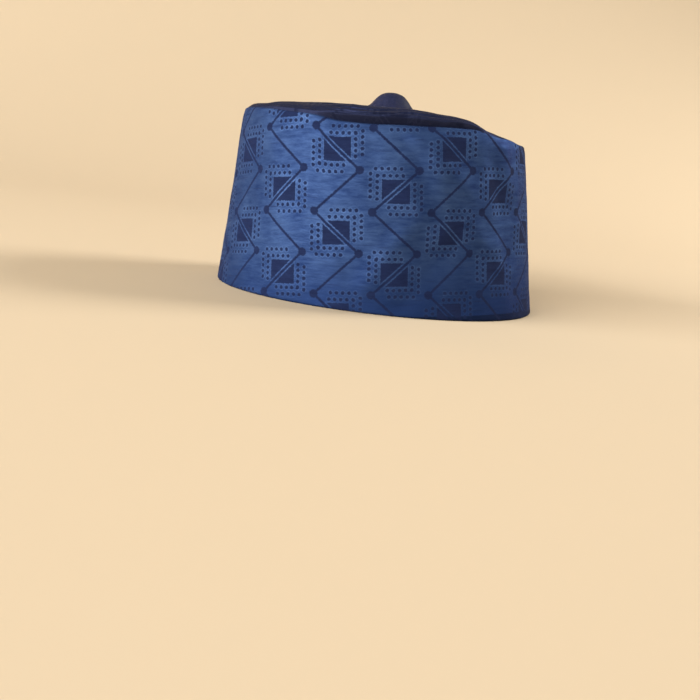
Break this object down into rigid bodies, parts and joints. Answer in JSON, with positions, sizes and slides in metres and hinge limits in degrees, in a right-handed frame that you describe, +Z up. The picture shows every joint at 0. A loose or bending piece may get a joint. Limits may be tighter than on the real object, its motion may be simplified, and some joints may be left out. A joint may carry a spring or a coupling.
{
  "type": "prayer cap",
  "caption": "Tall brimless oval prayer cap of stiffened patterned cloth, with a tapering side band, a softly puffed flat crown and a small cloth-covered button on top.",
  "frame": {"origin": "centre of the oval hem, on the surface that the cap stands on", "axes": "+X is the front of the cap, over the wearer's forehead, +Y is the wearer's left, and +Z is up through the crown"},
  "size_m": [0.2058, 0.1718, 0.128],
  "materials": {
    "jacquard_cloth": "satin",
    "crown_cloth": "satin",
    "button_cloth": "satin"
  },
  "bodies": {
    "root": {"band": "jacquard_cloth", "crown": "crown_cloth", "crown_button": "button_cloth"}
  },
  "joints": []
}
